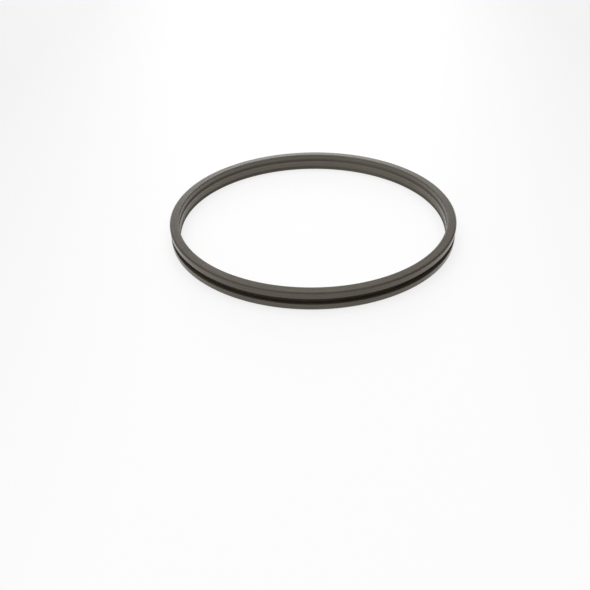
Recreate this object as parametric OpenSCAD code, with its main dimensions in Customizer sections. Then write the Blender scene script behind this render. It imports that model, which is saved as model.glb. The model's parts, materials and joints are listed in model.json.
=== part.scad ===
// Sealing ring of a double-acting piston seal.
// It is one solid, turned all over from a tube of bronze-filled plastic, and it is stiff enough
// to lie flat by itself. Its axis is Z. The origin is on the axis, in the plane of the lower flank.

/* [Ring] */
// Outer diameter over the two sealing lands: the bore of the cylinder that they run in
seal_od = 190; // [133:1:252]
// Axial height from the lower flank to the upper flank
ring_h = 12.1; // [11:0.1:14]
// Radial thickness from the inner face out to the sealing lands
wall = 6.0; // [5:0.1:8]

/* [Sealing face] */
// Axial width of the groove that parts the two sealing lands
groove_w = 4.0; // [3:0.1:5]
// Radial depth of that groove below the sealing lands
groove_d = 3.1; // [2:0.1:3.6]
// Radius in the two corners of the groove's floor
groove_floor_r = 0.4; // [0.2:0.05:0.8]
// Radius that eases both edges of the groove's mouth
groove_mouth_r = 0.35; // [0.1:0.05:0.8]
// Chamfer from each flank down to its sealing land
land_chamfer = 0.85; // [0.4:0.05:1.5]

/* [Inner face] */
// Axial width of the flat crest between the two seats
crest_w = 1.4; // [1:0.1:3]
// Axial width of the lip between each seat and its flank, with the lip's chamfer
lip_w = 0.7; // [0.6:0.1:1.2]
// Radial depth of the two round-bottomed seats below the crest and the lips
seat_depth = 1.0; // [0.5:0.1:1.4]
// Chamfer on the edge of each lip, at the flank
lip_chamfer = 0.45; // [0.1:0.05:0.55]

/* [Hidden] */
$fn = 180;
seal_r = seal_od / 2;
inner_r = seal_r - wall;
mid_h = ring_h / 2;
// Cutting shapes stand this far proud of the surface that they cut
cut_over = 1;
// Each seat fills the space between its lip and the crest, and its round bottom is one arc
seat_w = mid_h - crest_w / 2 - lip_w;
seat_r = (pow(seat_w / 2, 2) + pow(seat_depth, 2)) / (2 * seat_depth);
seat_axis_r = inner_r + seat_depth - seat_r;
seat_mid_h = lip_w + seat_w / 2;

// The turned blank: flanks, lands and inner face, with the four edges broken
module blank_section() {
    polygon([
        [inner_r + lip_chamfer, 0],
        [seal_r - land_chamfer, 0],
        [seal_r, land_chamfer],
        [seal_r, ring_h - land_chamfer],
        [seal_r - land_chamfer, ring_h],
        [inner_r + lip_chamfer, ring_h],
        [inner_r, ring_h - lip_chamfer],
        [inner_r, lip_chamfer]
    ]);
}

// The slot of the groove, with both corners of its floor rounded
module slot_section() {
    corner_h = groove_w / 2 - groove_floor_r;
    corner_r = seal_r - groove_d + groove_floor_r;
    translate([corner_r, mid_h - groove_w / 2])
        square([seal_r + cut_over - corner_r, groove_w]);
    translate([seal_r - groove_d, mid_h - corner_h])
        square([groove_d, 2 * corner_h]);
    for (side = [-1, 1])
        translate([corner_r, mid_h + side * corner_h])
            circle(r = groove_floor_r);
}

// The corner that is cut away where the slot's upper edge rounds over into its land
module mouth_section() {
    translate([seal_r - groove_mouth_r, groove_w / 2])
        difference() {
            translate([0, -groove_mouth_r])
                square([groove_mouth_r + cut_over, 2 * groove_mouth_r]);
            translate([0, groove_mouth_r])
                circle(r = groove_mouth_r);
        }
}

// The groove in the sealing face: the slot, and its mouth eased above and below
module groove_section() {
    slot_section();
    for (side = [0, 1])
        translate([0, mid_h])
            mirror([0, side])
                mouth_section();
}

// One round-bottomed seat in the inner face
module seat_section() {
    translate([seat_axis_r, seat_mid_h])
        circle(r = seat_r);
}

// Both seats, one above and one below the crest
module seats_section() {
    seat_section();
    translate([0, ring_h])
        mirror([0, 1])
            seat_section();
}

// The whole ring: its section turned about the axis
module seal_ring() {
    color([0.36, 0.34, 0.30])
        rotate_extrude()
            difference() {
                blank_section();
                groove_section();
                seats_section();
            }
}

seal_ring();
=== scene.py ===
# %% [markdown]
# # A turned piston seal ring on a bright table
#
# The object is the sliding ring of a double-acting piston seal. It is turned in one piece from a
# tube of bronze-filled plastic: dark brown-grey, waxy, with fine rings left by the tool. Outside it
# has two sealing lands with a deep groove between them. Inside it has two shallow round-bottomed
# seats with a narrow crest between them.
#
# This lesson loads the construction model, draws the ring's section once more with the small
# radii that a real tool leaves, turns it into a ring of smooth mesh, gives it a procedural
# material, and lights it as on a light table.

import json
from math import asin, degrees, pi, radians

import bpy
import numpy as np
from mathutils import Matrix, Vector


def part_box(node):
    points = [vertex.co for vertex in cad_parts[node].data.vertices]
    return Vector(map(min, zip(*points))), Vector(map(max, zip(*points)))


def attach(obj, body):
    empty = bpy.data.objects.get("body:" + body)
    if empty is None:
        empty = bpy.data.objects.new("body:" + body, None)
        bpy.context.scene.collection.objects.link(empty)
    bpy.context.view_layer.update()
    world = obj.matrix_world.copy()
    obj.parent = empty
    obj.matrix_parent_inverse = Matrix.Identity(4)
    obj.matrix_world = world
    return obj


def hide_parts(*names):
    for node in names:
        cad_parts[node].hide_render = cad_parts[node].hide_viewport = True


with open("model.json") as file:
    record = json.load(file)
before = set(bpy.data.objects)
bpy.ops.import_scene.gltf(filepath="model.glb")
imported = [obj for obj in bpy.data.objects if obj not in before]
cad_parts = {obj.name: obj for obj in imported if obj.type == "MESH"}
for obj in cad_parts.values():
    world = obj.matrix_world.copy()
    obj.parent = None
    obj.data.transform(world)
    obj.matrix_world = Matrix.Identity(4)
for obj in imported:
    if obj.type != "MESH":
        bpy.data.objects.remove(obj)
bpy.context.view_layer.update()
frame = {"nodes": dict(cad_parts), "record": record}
MM = 0.001
print("construction model, nodes:", sorted(frame["nodes"]))

# %% [markdown]
# ## The sizes that drive the section
#
# The outer radius, the height and the inner radius come from the construction model, so the ring
# made here always has its size. The other sizes belong to the section alone: the groove outside,
# the seats inside, and the broken edges. They are given in millimetres, as on a drawing. They are
# the construction model's too, apart from the radius on the groove's mouth. It is smaller here,
# because the real edge looks crisper, and that moves the surface by less than 0.1 mm.

# %% Sizes of the section
low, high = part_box("seal_ring")
mounts = {mount["name"]: mount for mount in frame["record"]["mounts"]}

RING_H = (high.z - low.z) / MM
SEAL_R = mounts["sealing_lands"]["dims"]["r_mm"]
INNER_R = mounts["inner_face"]["dims"]["r_mm"]
MID_H = RING_H / 2

GROOVE_W = 4.0
GROOVE_D = 3.1
GROOVE_FLOOR_R = 0.4
GROOVE_MOUTH_R = 0.15
LAND_CHAMFER = 0.85
CREST_W = 1.4
LIP_W = 0.7
SEAT_DEPTH = 1.0
LIP_CHAMFER = 0.45

print(f"ring {2 * SEAL_R:.1f} mm outside, {2 * INNER_R:.1f} mm inside, {RING_H:.1f} mm high")

# %% [markdown]
# ## Draw the section
#
# A turned part is a section carried round an axis, so the section holds the whole shape. It could
# be typed in as a list of points, but then nobody could change it. Here it is a chain of straight
# stretches and arcs between named sizes. Every stretch is cut into steps of the same length, and
# the chain runs once round the section: along the lower flank, up the outside, back along the
# upper flank and down the inside.

# %% Stretches of a section
STEP = 0.02


def straight(start, end):
    """Points from start towards end: start plus an even share of the way, the end left out."""
    start, end = np.array(start, float), np.array(end, float)
    count = max(2, round(np.linalg.norm(end - start) / STEP))
    share = np.linspace(0, 1, count, endpoint=False)[:, None]
    return start + share * (end - start)


def arc(centre, radius, first, last):
    """Points on a circle: centre plus radius times (cos, sin) of even angles, given in degrees."""
    count = max(4, round(radius * abs(radians(last - first)) / STEP))
    turn = np.radians(np.linspace(first, last, count, endpoint=False))
    return np.array(centre, float) + radius * np.stack([np.cos(turn), np.sin(turn)], axis=-1)


# %% [markdown]
# The groove and the two seats are written once each, and placed by their own sizes. The radius of a
# seat's bottom follows from its width and its depth: half the width squared plus the depth
# squared, over twice the depth.

# %% The groove, the seats and the whole outline
def groove_outline():
    """The groove from its lower mouth to its upper mouth: two eased edges, two walls, a floor."""
    low_wall, high_wall = MID_H - GROOVE_W / 2, MID_H + GROOVE_W / 2
    mouth_r, floor_r = SEAL_R - GROOVE_MOUTH_R, SEAL_R - GROOVE_D + GROOVE_FLOOR_R
    bottom_r = SEAL_R - GROOVE_D
    return [
        arc((mouth_r, low_wall - GROOVE_MOUTH_R), GROOVE_MOUTH_R, 0, 90),
        straight((mouth_r, low_wall), (floor_r, low_wall)),
        arc((floor_r, low_wall + GROOVE_FLOOR_R), GROOVE_FLOOR_R, 270, 180),
        straight((bottom_r, low_wall + GROOVE_FLOOR_R), (bottom_r, high_wall - GROOVE_FLOOR_R)),
        arc((floor_r, high_wall - GROOVE_FLOOR_R), GROOVE_FLOOR_R, 180, 90),
        straight((floor_r, high_wall), (mouth_r, high_wall)),
        arc((mouth_r, high_wall + GROOVE_MOUTH_R), GROOVE_MOUTH_R, 270, 360),
    ]


def seat_outline(top):
    """One seat, from its upper edge at height top down to its lower edge, as a single arc."""
    width = MID_H - CREST_W / 2 - LIP_W
    radius = (width**2 / 4 + SEAT_DEPTH**2) / (2 * SEAT_DEPTH)
    half = degrees(asin(width / 2 / radius))
    return arc((INNER_R + SEAT_DEPTH - radius, top - width / 2), radius, half, -half)


def ring_outline():
    """The closed outline as (radius, height) in mm, anticlockwise from the lower inner edge."""
    groove_low = MID_H - GROOVE_W / 2 - GROOVE_MOUTH_R
    return np.concatenate([
        straight((INNER_R + LIP_CHAMFER, 0), (SEAL_R - LAND_CHAMFER, 0)),
        straight((SEAL_R - LAND_CHAMFER, 0), (SEAL_R, LAND_CHAMFER)),
        straight((SEAL_R, LAND_CHAMFER), (SEAL_R, groove_low)),
        *groove_outline(),
        straight((SEAL_R, RING_H - groove_low), (SEAL_R, RING_H - LAND_CHAMFER)),
        straight((SEAL_R, RING_H - LAND_CHAMFER), (SEAL_R - LAND_CHAMFER, RING_H)),
        straight((SEAL_R - LAND_CHAMFER, RING_H), (INNER_R + LIP_CHAMFER, RING_H)),
        straight((INNER_R + LIP_CHAMFER, RING_H), (INNER_R, RING_H - LIP_CHAMFER)),
        straight((INNER_R, RING_H - LIP_CHAMFER), (INNER_R, RING_H - LIP_W)),
        seat_outline(RING_H - LIP_W),
        straight((INNER_R, MID_H + CREST_W / 2), (INNER_R, MID_H - CREST_W / 2)),
        seat_outline(MID_H - CREST_W / 2),
        straight((INNER_R, LIP_W), (INNER_R, LIP_CHAMFER)),
        straight((INNER_R, LIP_CHAMFER), (INNER_R + LIP_CHAMFER, 0)),
    ])


outline = ring_outline()
print(f"outline: {len(outline)} fine points, {len(outline) * STEP:.1f} mm round")

# %% [markdown]
# ## Soften its corners
#
# No turned corner is perfectly sharp, and a sharp one catches no light. A Bevel modifier would
# have to be tuned to every edge. A simpler way is to average the outline with its own neighbours
# along a short window: flats and long arcs stay where they are, and every corner gets a small
# radius, also where an arc meets a flat. The average with a bell-shaped window is one
# multiplication after a Fourier transform, because the outline is a closed loop.

# %% Even steps, a bell-shaped average, and how sharply the outline turns
FINE_COUNT = 8192
EASE = 0.045


def closed_length(points):
    """Distance along the closed outline at each point and once round: the sum of its steps."""
    steps = np.linalg.norm(np.roll(points, -1, axis=0) - points, axis=1)
    return np.concatenate([[0.0], np.cumsum(steps)])


def softened(points):
    """The outline on FINE_COUNT even steps, averaged with a bell-shaped window EASE mm wide."""
    along = closed_length(points)
    ring = np.vstack([points, points[:1]])
    even = np.arange(FINE_COUNT) * along[-1] / FINE_COUNT
    waves = np.fft.rfftfreq(FINE_COUNT, along[-1] / FINE_COUNT)
    window = np.exp(-2 * (np.pi * waves * EASE) ** 2)
    smooth = [
        np.fft.irfft(np.fft.rfft(np.interp(even, along, ring[:, axis])) * window, FINE_COUNT)
        for axis in (0, 1)
    ]
    return np.stack(smooth, axis=-1)


def turning_rate(points):
    """How fast the outline turns, per millimetre: the change of its direction over its step.
    It is positive on an edge that stands out and negative in a hollow."""
    tangent = np.roll(points, -1, axis=0) - np.roll(points, 1, axis=0)
    heading = np.unwrap(np.arctan2(tangent[:, 1], tangent[:, 0]))
    step = np.linalg.norm(tangent, axis=1) / 2
    change = np.roll(heading, -1) - np.roll(heading, 1)
    change = (change + pi) % (2 * pi) - pi
    return change / (2 * step)


fine = softened(outline)
fine_rate = turning_rate(fine)
print(f"tightest outside radius left: {1 / fine_rate.max():.2f} mm")

# %% [markdown]
# ## Keep points where the outline bends
#
# Eight thousand points round the section would make millions of faces. The mesh needs many points
# on a small radius and few on a flat. So each fine step is given a weight that grows with the
# square root of its turning rate, and the kept points are spread evenly over the sum of the weights.

# %% Choose the points of the section
SECTION_COUNT = 150
FLAT_WEIGHT = 1.2
BEND_WEIGHT = 2.4


def chosen_places(rate, count):
    """Fractional places in the fine outline where the running sum of the weights is evenly shared."""
    total = np.concatenate([[0.0], np.cumsum(FLAT_WEIGHT + BEND_WEIGHT * np.sqrt(np.abs(rate)))])
    return np.interp(np.arange(count) * total[-1] / count, total, np.arange(len(total)))


def at_places(values, places):
    """Values of a closed loop read between its points."""
    return np.interp(places, np.arange(len(values)), values, period=len(values))


places = chosen_places(fine_rate, SECTION_COUNT)
section = np.stack([at_places(fine[:, 0], places), at_places(fine[:, 1], places)], axis=-1)
section_rate = at_places(fine_rate, places)
section_along = closed_length(section)
print(f"section: {len(section)} points kept of {FINE_COUNT}")

# %% [markdown]
# ## Turn the section about the axis
#
# The Spin tool or a Screw modifier could do this step. A grid worked out with numpy does the same
# in one go, and it can carry what the material needs later: for every point the distance along the
# section, the direction from the axis, and how much its edge stands out. The grid has one row per
# angle and one column per section point, and both directions close on themselves.

# %% The ring's surface
TURN_COUNT = 640


def revolved(points, turns):
    """Grid of x, y, z: radius times the cosine and the sine of the angle, and the height unchanged."""
    angle = np.arange(turns) * 2 * pi / turns
    radius, height = points[:, 0] * MM, points[:, 1] * MM
    grid = np.empty((turns, len(points), 3))
    grid[..., 0] = np.cos(angle)[:, None] * radius
    grid[..., 1] = np.sin(angle)[:, None] * radius
    grid[..., 2] = height
    return grid, angle


def grid_faces(turns, count):
    """Four-cornered faces between each grid point and its next neighbours, wrapped both ways."""
    row, column = np.meshgrid(np.arange(turns), np.arange(count), indexing="ij")
    next_row, next_column = (row + 1) % turns, (column + 1) % count
    corners = [row * count + column, next_row * count + column,
               next_row * count + next_column, row * count + next_column]
    return np.stack(corners, axis=-1).reshape(-1, 4)


def grid_mesh(name, grid, faces):
    """Puts the grid's points and faces into a new smooth-shaded mesh."""
    mesh = bpy.data.meshes.new(name)
    mesh.vertices.add(grid.size // 3)
    mesh.vertices.foreach_set("co", grid.astype(np.float32).ravel())
    mesh.loops.add(faces.size)
    mesh.loops.foreach_set("vertex_index", faces.astype(np.int32).ravel())
    mesh.polygons.add(len(faces))
    mesh.polygons.foreach_set("loop_start", np.arange(0, faces.size, 4, dtype=np.int32))
    mesh.update(calc_edges=True)
    mesh.shade_smooth()
    return mesh


ring_grid, ring_angle = revolved(section, TURN_COUNT)
ring_faces = grid_faces(TURN_COUNT, SECTION_COUNT)
ring_mesh = grid_mesh("seal_ring_turned", ring_grid, ring_faces)
print(f"ring mesh: {len(ring_faces)} faces, valid: {not ring_mesh.validate()}")

# %% [markdown]
# A closed mesh whose faces point outwards has a positive volume. The sum over its faces of the
# signed wedge to the origin gives it at once, and it should agree with the section's area carried
# round the axis.

# %% Check the volume
def mesh_volume(grid, faces):
    """Sum over the faces' two triangles of the triple product of their corners, over six."""
    points = grid.reshape(-1, 3)[faces]
    a, b, c, d = (points[:, corner] for corner in range(4))
    triple = np.einsum("ij,ij->i", a, np.cross(b, c)) + np.einsum("ij,ij->i", a, np.cross(c, d))
    return triple.sum() / 6


print(f"volume: {mesh_volume(ring_grid, ring_faces) * 1e6:.2f} cubic centimetres")

# %% [markdown]
# ## Carry the tool's path on the surface
#
# The fine rings on the real part follow the tool: they run round the axis, and they change from
# one place of the section to the next. A texture in x, y and z would cut across them. So every
# point gets a vector of its own: the cosine and the sine of its angle, and its distance along the
# section in millimetres. Noise in that space is long round the ring and narrow across it, and it
# closes without a seam.
#
# Two more values go with it. One says how much paler a place is made: the edges that stand out,
# as wear and a painted highlight, and the crest, the narrowest face of all, as a painted highlight.
# The other marks the inner face, which is painted paler than the outside: painted light, for light
# that the surround does not bring inside the ring. Both read the section's own points, and take in
# those that lie up to REACH past a nominal size, because the corners are softened.

# %% Wear with a painted highlight, the inner face's painted light, and their attributes
WORN_RATE = 4.0
REACH = 0.1


def rubbed(points, rate):
    """The turning rate over WORN_RATE, held between 0 and 1, and 1 on the whole crest."""
    # The crest's 1 is a painted highlight; the share on edges that stand out is wear and painted
    # highlight.
    on_crest = np.abs(points[:, 1] - MID_H) < CREST_W / 2 + REACH
    on_crest &= points[:, 0] < INNER_R + REACH
    return np.where(on_crest, 1.0, np.clip(rate / WORN_RATE, 0, 1))


def inner_face(points):
    """0 outside; inside the height above the nearer flank over the lip's chamfer, held at 1."""
    # This mask carries the inner face's painted light.
    above_flank = np.minimum(points[:, 1], RING_H - points[:, 1])
    inside = points[:, 0] < INNER_R + SEAT_DEPTH + REACH
    return inside * np.clip(above_flank / LIP_CHAMFER, 0, 1)


def add_attributes(mesh, angle, along, worn_and_highlight, inside):
    """Stores (cos, sin, distance) and the two section values, each spread over the whole grid."""
    shape = (len(angle), len(along))
    path = np.empty((*shape, 3), np.float32)
    path[..., 0] = np.cos(angle)[:, None]
    path[..., 1] = np.sin(angle)[:, None]
    path[..., 2] = along
    tool_path = mesh.attributes.new("tool_path", "FLOAT_VECTOR", "POINT")
    tool_path.data.foreach_set("vector", path.ravel())
    for name, values in (("rubbed", worn_and_highlight), ("inner_face", inside)):
        spread = np.broadcast_to(values, shape).astype(np.float32)
        mesh.attributes.new(name, "FLOAT", "POINT").data.foreach_set("value", spread.ravel())


def add_uv(mesh, turns, along):
    """U is the share of the turn and V the share of the way round the section, with no fold."""
    count = len(along) - 1
    row, column = np.meshgrid(np.arange(turns), np.arange(count), indexing="ij")
    u = np.stack([row, row + 1, row + 1, row], axis=-1) / turns
    here, there = along[column] / along[-1], along[column + 1] / along[-1]
    v = np.stack([here, here, there, there], axis=-1)
    corners = np.stack([u, v], axis=-1).astype(np.float32)
    mesh.uv_layers.new(name="turned").data.foreach_set("uv", corners.ravel())


section_worn_and_highlight = rubbed(section, section_rate)
add_attributes(ring_mesh, ring_angle, section_along[:-1], section_worn_and_highlight, inner_face(section))
add_uv(ring_mesh, TURN_COUNT, section_along)
print("attributes:", [a.name for a in ring_mesh.attributes if not a.name.startswith(".")])

# %% [markdown]
# ## Small helpers for node trees
#
# A material is a graph, and each of its steps is a node with a few values and a few links. One
# helper that makes a node, sets its values and links its inputs keeps the materials short enough
# to read as a recipe.

# %% Node helpers
def add_node(tree, kind, inputs=None, **settings):
    """Makes a node, sets its own settings, and sets or links each named or numbered input."""
    node = tree.nodes.new(kind)
    for name, value in settings.items():
        setattr(node, name, value)
    for key, value in (inputs or {}).items():
        if isinstance(value, bpy.types.NodeSocket):
            tree.links.new(value, node.inputs[key])
        else:
            node.inputs[key].default_value = value
    return node


def remapped(tree, value, source, target):
    """A value moved in a straight line from one range to another, and held at its ends."""
    inputs = {"Value": value, "From Min": source[0], "From Max": source[1],
              "To Min": target[0], "To Max": target[1]}
    return add_node(tree, "ShaderNodeMapRange", inputs).outputs["Result"]


def combined(tree, operation, first, second):
    """One arithmetic step on two values."""
    return add_node(tree, "ShaderNodeMath", {0: first, 1: second}, operation=operation).outputs[0]


def product(tree, first, second):
    """One value times another."""
    return combined(tree, "MULTIPLY", first, second)


def mixed_colour(tree, factor, first, second):
    """Two colours mixed by a factor. The colour sockets of a Mix node are its numbers 6 and 7."""
    node = add_node(tree, "ShaderNodeMix", {"Factor": factor}, data_type="RGBA")
    for socket, value in ((node.inputs[6], first), (node.inputs[7], second)):
        if isinstance(value, bpy.types.NodeSocket):
            tree.links.new(value, socket)
        else:
            socket.default_value = (*value, 1.0)
    return node.outputs[2]


def new_material(name):
    """A material with a node tree, and its surface shader."""
    material = bpy.data.materials.new(name)
    material.use_nodes = True
    return material, material.node_tree, material.node_tree.nodes["Principled BSDF"]


def stored(tree, name, output="Fac"):
    """One of the values that the mesh carries."""
    return add_node(tree, "ShaderNodeAttribute", attribute_name=name).outputs[output]


def noise(tree, vector, scale, detail=2.0, roughness=0.5):
    """The grey value of a three-dimensional noise."""
    inputs = {"Vector": vector, "Scale": scale, "Detail": detail, "Roughness": roughness}
    return add_node(tree, "ShaderNodeTexNoise", inputs).outputs["Fac"]


def stretched(tree, vector, scale):
    """The tool's path scaled apart: few repeats round the ring, many across it."""
    return add_node(tree, "ShaderNodeMapping", {"Vector": vector, "Scale": scale}).outputs["Vector"]


# %% [markdown]
# ## The filled plastic
#
# The plastic is a dark fluoropolymer with fine bronze powder in it. It is a waxy solid and not a
# metal: its body is a dark brown-grey, and the light that it throws back at a low angle is white.
# So it is a plain dielectric with a dark base colour and a middling roughness.
#
# Its detail comes in three sizes. Broad patches come from uneven sintering, and are noise in the
# object's own space. Long streaks and narrow lines come from the tool, and are noise along its
# path, stretched round the ring. Tiny light specks are grains of the powder, cut by the tool: only
# the peaks of a very fine noise. The inner face is painted a little paler than the outside, as
# painted light. The edges that stand out are paler still, from wear and a painted highlight, and
# so is the crest, as a painted highlight.

# %% Colours and sizes of the plastic's detail
BODY_DARK = (0.074, 0.060, 0.044)
BODY_LIGHT = (0.110, 0.090, 0.067)
# Painted light: the inner face's paler colour stands in for light that does not reach inside the ring.
INSIDE_PAINTED_LIGHT_COLOUR = (0.165, 0.150, 0.120)
INSIDE_PAINTED_LIGHT_SHARE = 0.4
GRAIN_COLOUR = (0.26, 0.205, 0.125)
GRAIN_PEAKS = (0.62, 0.72)
GRAIN_SHARE = 0.8
# Paler colour of edges and crest: wear on the edges, and a painted highlight on edges and crest.
EDGE_AND_HIGHLIGHT_COLOUR = (0.150, 0.132, 0.100)
EDGE_AND_HIGHLIGHT_SHARE = (0.25, 0.8)
RING_ROUGHNESS = (0.13, 0.26)

PATCH_SCALE = 38.0
GRAIN_SCALE = 2600.0
STREAK_STRETCH = (2.2, 2.2, 1.9)
LINE_STRETCH = (0.9, 0.9, 9.0)
PATCH_SHARE, STREAK_SHARE, LINE_SHARE = 0.45, 0.35, 0.20
GRAIN_HEIGHT = 0.25
BUMP_DEPTH_M = 0.00004


# %% The material, and the ring in it
def plastic_colour(tree, patches, streaks, lines, grains):
    """Body between dark and light, then the inner face's painted light, grains, and worn edges and
    crest with painted highlight.
    """
    shade = product(tree, patches, PATCH_SHARE)
    shade = combined(tree, "ADD", shade, product(tree, streaks, STREAK_SHARE))
    shade = combined(tree, "ADD", shade, product(tree, lines, LINE_SHARE))
    body = mixed_colour(tree, remapped(tree, shade, (0.36, 0.64), (0.0, 1.0)), BODY_DARK, BODY_LIGHT)
    # Painted light: the inner face is painted paler, for light the surround does not bring inside the
    # ring.
    inside = product(tree, stored(tree, "inner_face"), INSIDE_PAINTED_LIGHT_SHARE)
    body = mixed_colour(tree, inside, body, INSIDE_PAINTED_LIGHT_COLOUR)
    specks = remapped(tree, grains, GRAIN_PEAKS, (0.0, GRAIN_SHARE))
    body = mixed_colour(tree, specks, body, GRAIN_COLOUR)
    # Paler edges and crest: wear, and a painted highlight, which is the whole of it on the crest.
    worn_and_highlight = product(tree, stored(tree, "rubbed"), remapped(tree, streaks, (0.3, 0.7), EDGE_AND_HIGHLIGHT_SHARE))
    return mixed_colour(tree, worn_and_highlight, body, EDGE_AND_HIGHLIGHT_COLOUR)


def filled_plastic():
    """The ring's material: its colour, its gloss, and the small height of the lines and grains."""
    material, tree, shader = new_material("turned_plastic")
    place = add_node(tree, "ShaderNodeTexCoord").outputs["Object"]
    path = stored(tree, "tool_path", "Vector")

    patches = noise(tree, place, PATCH_SCALE, 3.0, 0.55)
    streaks = noise(tree, stretched(tree, path, STREAK_STRETCH), 1.0, 3.0, 0.6)
    lines = noise(tree, stretched(tree, path, LINE_STRETCH), 1.0, 2.0, 0.7)
    grains = noise(tree, place, GRAIN_SCALE, 2.0, 0.6)

    colour = plastic_colour(tree, patches, streaks, lines, grains)
    gloss = remapped(tree, combined(tree, "ADD", lines, streaks), (0.7, 1.3), RING_ROUGHNESS)
    height = combined(tree, "ADD", lines, product(tree, grains, GRAIN_HEIGHT))
    relief = {"Strength": 0.8, "Distance": BUMP_DEPTH_M, "Height": height}
    bump = add_node(tree, "ShaderNodeBump", relief)
    tree.links.new(colour, shader.inputs["Base Color"])
    tree.links.new(gloss, shader.inputs["Roughness"])
    tree.links.new(bump.outputs["Normal"], shader.inputs["Normal"])
    shader.inputs["IOR"].default_value = 1.5
    return material


seal_ring = bpy.data.objects.new("seal_ring_turned", ring_mesh)
bpy.context.scene.collection.objects.link(seal_ring)
ring_mesh.materials.append(filled_plastic())
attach(seal_ring, "root")
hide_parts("seal_ring")
print(f"material: {len(ring_mesh.materials[0].node_tree.nodes)} nodes")

# %% [markdown]
# ## The table
#
# The ring lies on a pale table that glows a little, as a light table does, so it has hardly any
# shadow and its undersides are bright. The glow falls off a little to both sides, where the floor
# turns from white to a very light grey.

# %% Table
TABLE_SIZE = 14.0
TABLE_COLOUR = (0.30, 0.30, 0.30)
TABLE_GLOW = 0.74
SIDE_GLOW = 0.64
GLOW_FADE = (0.08, 0.34)


def pale_table():
    """A large square at height zero with a pale, faintly glowing surface."""
    half = TABLE_SIZE / 2
    corners = [(-half, -half, 0), (half, -half, 0), (half, half, 0), (-half, half, 0)]
    mesh = bpy.data.meshes.new("table")
    mesh.from_pydata(corners, [], [(0, 1, 2, 3)])
    material, tree, shader = new_material("table")
    shader.inputs["Base Color"].default_value = (*TABLE_COLOUR, 1.0)
    shader.inputs["Roughness"].default_value = 0.6
    shader.inputs["Specular IOR Level"].default_value = 0.3
    shader.inputs["Emission Color"].default_value = (1.0, 1.0, 1.0, 1.0)
    place = add_node(tree, "ShaderNodeTexCoord").outputs["Object"]
    split = add_node(tree, "ShaderNodeSeparateXYZ", {0: place})
    aside = combined(tree, "ABSOLUTE", split.outputs["X"], 0.0)
    glow = remapped(tree, aside, GLOW_FADE, (TABLE_GLOW, SIDE_GLOW))
    tree.links.new(glow, shader.inputs["Emission Strength"])
    mesh.materials.append(material)
    table = bpy.data.objects.new("table", mesh)
    bpy.context.scene.collection.objects.link(table)
    return table


pale_table()
print(f"table: {TABLE_SIZE:.0f} m square, glow {TABLE_GLOW} in the middle and {SIDE_GLOW} at the sides")

# %% [markdown]
# ## The surrounding light
#
# All other light comes from a surround. Area lamps could give it, but their outlines would show
# as lines in a satin surface. A world whose strength depends softly on the direction has no
# outlines. Its direction is split into x to the right, y to the back and z upwards.
#
# Low down behind the ring stands a narrow bright wall. The far flank is seen at a low angle,
# mirrors it and turns pale. The near flank is seen more steeply and mirrors the dimmer part above
# the wall. Overhead it is bright again, and a little way to the front, so the seats are lit from
# above. The front is dim, and most so at the right, so the groove goes nearly black. A Light Path
# node keeps all this from the camera, which sees an even backdrop instead.

# %% Surrounding light
WALL_LIGHT = 2.3
WALL_TOP = 0.42
ABOVE_WALL = 0.6
WALL_FADE_UP = (0.66, 0.85)
WALL_FADE_ASIDE = (0.12, 0.45)
WALL_LEFT_TO_RIGHT = (1.1, 0.8)
OVERHEAD_LIGHT = 1.3
OVERHEAD_FROM = (0.68, 0.88)
OVERHEAD_FRONT_EDGE = (-0.5, -0.38)
FRONT_LEFT_LIGHT = 0.38
FRONT_RIGHT_LIGHT = 0.12
BACKDROP_LIGHT = 0.93


def wall_light(tree, x, y, z):
    """Bright below WALL_TOP, dimmer above it, and faded upwards, to both sides and to the front."""
    wall = remapped(tree, z, (WALL_TOP, WALL_TOP + 0.05), (WALL_LIGHT, ABOVE_WALL))
    wall = product(tree, wall, remapped(tree, z, WALL_FADE_UP, (1.0, 0.0)))
    aside = combined(tree, "ABSOLUTE", combined(tree, "DIVIDE", x, y), 0.0)
    wall = product(tree, wall, remapped(tree, aside, WALL_FADE_ASIDE, (1.0, 0.0)))
    wall = product(tree, wall, remapped(tree, y, (0.0, 0.1), (0.0, 1.0)))
    return product(tree, wall, remapped(tree, x, (-0.3, 0.3), WALL_LEFT_TO_RIGHT))


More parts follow.
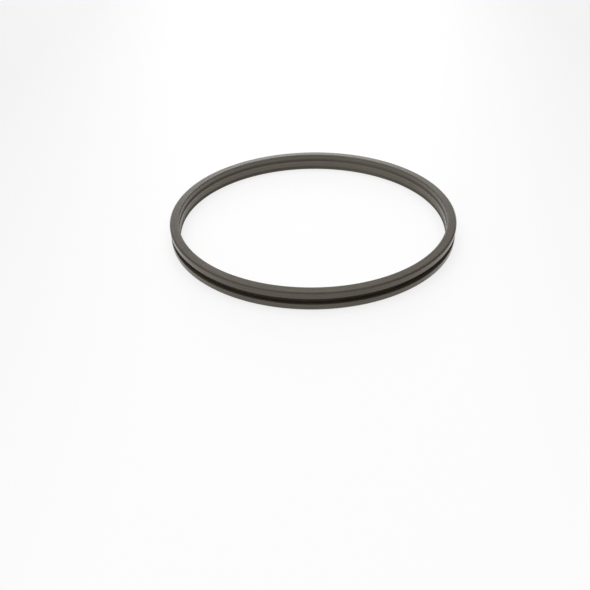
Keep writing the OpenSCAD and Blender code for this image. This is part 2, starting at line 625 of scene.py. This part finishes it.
def surround():
    """Strength by direction: the wall behind, the light overhead and the dim front, added up."""
    world = bpy.data.worlds.new("surround")
    bpy.context.scene.world = world
    world.use_nodes = True
    tree = world.node_tree
    direction = add_node(tree, "ShaderNodeTexCoord").outputs["Generated"]
    split = add_node(tree, "ShaderNodeSeparateXYZ", {0: direction})
    x, y, z = (split.outputs[axis] for axis in "XYZ")

    overhead = remapped(tree, z, OVERHEAD_FROM, (0.0, OVERHEAD_LIGHT))
    overhead = product(tree, overhead, remapped(tree, y, OVERHEAD_FRONT_EDGE, (0.0, 1.0)))
    front = remapped(tree, x, (-0.7, 0.5), (FRONT_LEFT_LIGHT, FRONT_RIGHT_LIGHT))
    light = combined(tree, "ADD", wall_light(tree, x, y, z), overhead)
    light = combined(tree, "ADD", light, front)
    seen = add_node(tree, "ShaderNodeLightPath").outputs["Is Camera Ray"]
    inputs = {"Factor": seen, "A": light, "B": BACKDROP_LIGHT}
    strength = add_node(tree, "ShaderNodeMix", inputs).outputs[0]
    background = tree.nodes["Background"]
    tree.links.new(strength, background.inputs["Strength"])
    background.inputs["Color"].default_value = (1.0, 1.0, 1.0, 1.0)


surround()
bpy.context.scene.view_settings.view_transform = "Standard"
print(f"surround: {len(bpy.context.scene.world.node_tree.nodes)} nodes")

# %% [markdown]
# ## The camera
#
# The camera stands where the photographer's stood. Its place is given in ring radii, because that is
# what a picture can tell: four radii back from the ring's middle and a good two up. It looks down
# by 36 degrees.

# %% Camera
CAMERA_BACK = 3.969
CAMERA_UP = 2.299
LOOK_DOWN = 36.32
LOOK_LEFT = 1.98
LEAN = -1.47
FOCAL_PX = 633.0
FRAME_PX = 590
SENSOR_MM = 36.0


def photo_camera():
    """Camera at its place: turned about the upright, tipped down, then leant about its own axis."""
    camera = bpy.data.cameras.new("camera")
    camera.sensor_width = SENSOR_MM
    camera.lens = FOCAL_PX / FRAME_PX * SENSOR_MM
    camera.clip_start = 0.01
    camera.clip_end = 50.0
    holder = bpy.data.objects.new("camera", camera)
    bpy.context.scene.collection.objects.link(holder)
    place = Matrix.Translation(Vector((0, -CAMERA_BACK, CAMERA_UP)) * SEAL_R * MM)
    turn = Matrix.Rotation(radians(LOOK_LEFT), 4, "Z")
    tip = Matrix.Rotation(radians(90 - LOOK_DOWN), 4, "X")
    lean = Matrix.Rotation(radians(LEAN), 4, "Z")
    holder.matrix_world = place @ turn @ tip @ lean
    bpy.context.scene.camera = holder
    return holder


photo_camera()
print(f"camera lens: {bpy.context.scene.camera.data.lens:.1f} mm")
